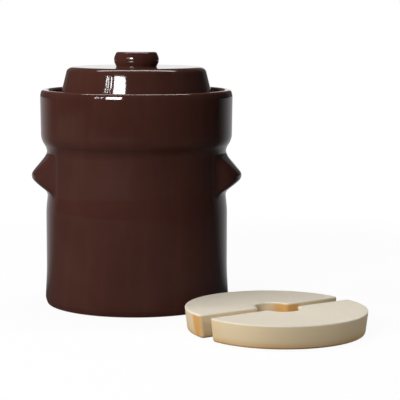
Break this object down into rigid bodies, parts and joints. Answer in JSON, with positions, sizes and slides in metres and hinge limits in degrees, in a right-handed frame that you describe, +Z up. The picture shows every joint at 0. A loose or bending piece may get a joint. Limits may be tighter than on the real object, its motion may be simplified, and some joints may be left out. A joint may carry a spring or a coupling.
{
  "type": "fermentation crock",
  "caption": "Stoneware fermenting pot with a water-sealed gutter rim, side lugs and a loose domed lid, with half-round weighting stones beside it.",
  "frame": {"origin": "centre of the crock's flat base, on the surface it stands on", "axes": "+Z up along the crock's axis, -Y to the front, +X through the right-hand lug"},
  "size_m": [0.3633, 0.369, 0.283],
  "materials": {
    "brown_glaze": "gloss",
    "fired_clay": "matte"
  },
  "bodies": {
    "root": {"crock": "brown_glaze", "lid": "brown_glaze", "rear_stone": "fired_clay", "front_stone": "fired_clay"}
  },
  "joints": []
}
